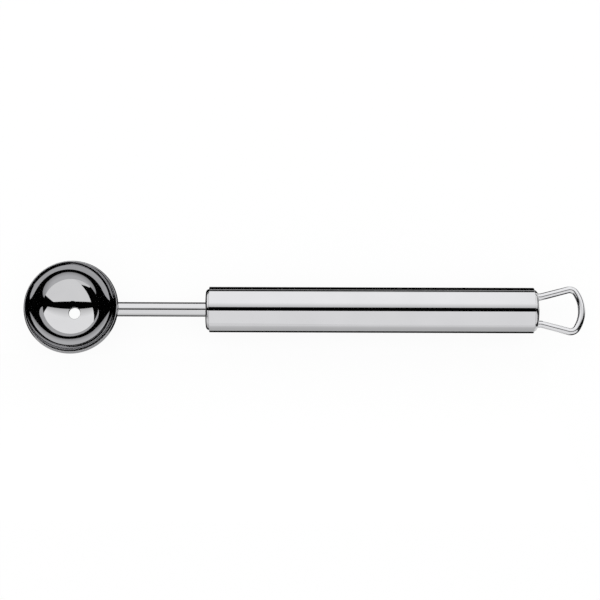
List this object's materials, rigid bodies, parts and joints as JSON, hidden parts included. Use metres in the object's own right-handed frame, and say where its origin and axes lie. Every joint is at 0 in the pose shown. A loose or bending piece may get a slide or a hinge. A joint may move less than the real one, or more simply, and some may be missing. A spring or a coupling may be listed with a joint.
{
  "type": "melon baller",
  "caption": "All-steel melon baller: round bowl with a drain hole and a ground rim, straight rod, closed round tube handle and bent-wire hanging loop.",
  "frame": {"origin": "under the middle of the tool's length, level with the lowest edge of the bowl", "axes": "+X along the handle from the bowl to the hanging loop, +Z square to the bowl's rim, the way the bowl opens"},
  "size_m": [0.2158, 0.0364, 0.0176],
  "materials": {
    "bowl_steel": "polished",
    "stem_steel": "polished",
    "plug_steel": "polished",
    "handle_steel": "polished",
    "wire_steel": "polished"
  },
  "bodies": {
    "root": {"bowl": "bowl_steel", "stem": "stem_steel", "front_plug": "plug_steel", "handle_tube": "handle_steel", "rear_plug": "plug_steel", "hanging_loop": "wire_steel"}
  },
  "joints": []
}
